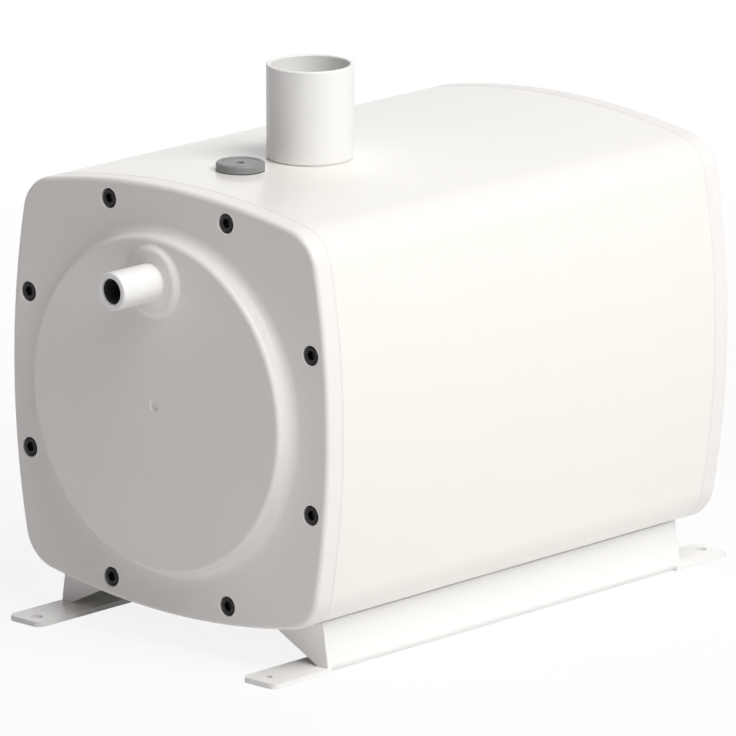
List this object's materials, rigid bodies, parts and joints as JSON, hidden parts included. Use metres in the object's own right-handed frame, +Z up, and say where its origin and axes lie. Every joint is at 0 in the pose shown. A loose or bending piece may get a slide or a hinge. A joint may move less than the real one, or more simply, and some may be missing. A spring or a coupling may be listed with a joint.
{
  "type": "shower sump pump",
  "caption": "Closed shower waste tank on two foot rails with a top inlet pipe, vent plug and front outlet nozzle; pump, motor, check valve and float switch inside.",
  "frame": {"origin": "on the floor, at the middle of the four fixing holes in the feet", "axes": "+Z up, the front cover and its nozzle face -Y, the tank runs back along +Y, +X to its right"},
  "size_m": [0.249, 0.419, 0.322],
  "materials": {
    "white_housing": "smooth gloss",
    "pale_cover": "smooth satin",
    "pale_moulding": "satin",
    "grey_moulding": "satin",
    "black_rubber": "matt",
    "black_screws": "black oxide",
    "white_painted_steel": "powder coat",
    "bare_steel": "zinc plated",
    "cast_aluminium": "as cast",
    "copper_winding": "enamelled copper wire",
    "blue_float": "smooth",
    "red_plunger": "smooth"
  },
  "bodies": {
    "housing": {"tank_shell": "white_housing", "bulkhead": "white_housing", "inlet_socket": "white_housing", "front_cover": "pale_cover", "rear_cover": "pale_cover", "front_gasket": "black_rubber", "rear_gasket": "black_rubber", "front_cover_screws": "black_screws", "rear_cover_screws": "black_screws", "inlet_pipe": "white_housing", "inlet_seal": "black_rubber", "vent_plug": "grey_moulding", "vent_seal": "black_rubber", "discharge_nozzle": "white_housing", "nozzle_seal": "black_rubber", "nozzle_nut": "grey_moulding", "left_foot_rail": "white_painted_steel", "right_foot_rail": "white_painted_steel", "foot_rail_screws": "bare_steel", "motor_plate": "cast_aluminium", "motor_plate_seal": "black_rubber", "motor_plate_screws": "bare_steel", "volute_casing": "pale_moulding", "volute_screws": "bare_steel", "shaft_seal": "black_rubber", "front_bearing": "bare_steel", "rear_bearing": "bare_steel", "stator_core": "bare_steel", "stator_winding": "copper_winding", "motor_casing": "cast_aluminium", "motor_end_cap": "cast_aluminium", "motor_tie_rods": "bare_steel", "suction_elbow": "pale_moulding", "suction_strainer": "grey_moulding", "discharge_hose": "black_rubber", "coupling_hose": "black_rubber", "hose_clamps": "bare_steel", "check_valve_body": "pale_moulding", "check_valve_cap": "pale_moulding", "check_flap_pin": "bare_steel", "float_bracket": "bare_steel", "bracket_screws": "bare_steel", "float_pin": "bare_steel", "switch_body": "grey_moulding", "switch_screws": "bare_steel", "gland_body": "grey_moulding", "gland_locknut": "grey_moulding", "gland_insert": "black_rubber", "gland_dome_nut": "grey_moulding"},
    "rotor": {"motor_shaft": "bare_steel", "rotor_core": "bare_steel", "impeller": "pale_moulding", "impeller_nut": "bare_steel"},
    "flap": {"check_flap": "black_rubber"},
    "float": {"float_arm": "pale_moulding", "float_ball": "blue_float"},
    "plunger": {"switch_plunger": "red_plunger"}
  },
  "joints": [
    {"name": "rotor_spin", "type": "hinge", "parent": "housing", "child": "rotor", "pos_m": [0.034, 0, 0.098], "axis": [0, 1, 0], "continuous": true},
    {"name": "check_flap_swing", "type": "hinge", "parent": "housing", "child": "flap", "pos_m": [0, -0.0688, 0.2262], "axis": [-1, 0, 0], "range_deg": [0, 60]},
    {"name": "float_swing", "type": "hinge", "parent": "housing", "child": "float", "pos_m": [-0.062, -0.014, 0.123], "axis": [-1, 0, 0], "range_deg": [0, 45]},
    {"name": "switch_plunge", "type": "slide", "parent": "housing", "child": "plunger", "axis": [0, 0, 1], "range_m": [0, 0.003]}
  ],
  "couplings": [
    {"joint": "switch_plunge", "follows": "float_swing", "m_per_rad": 0.00381}
  ]
}
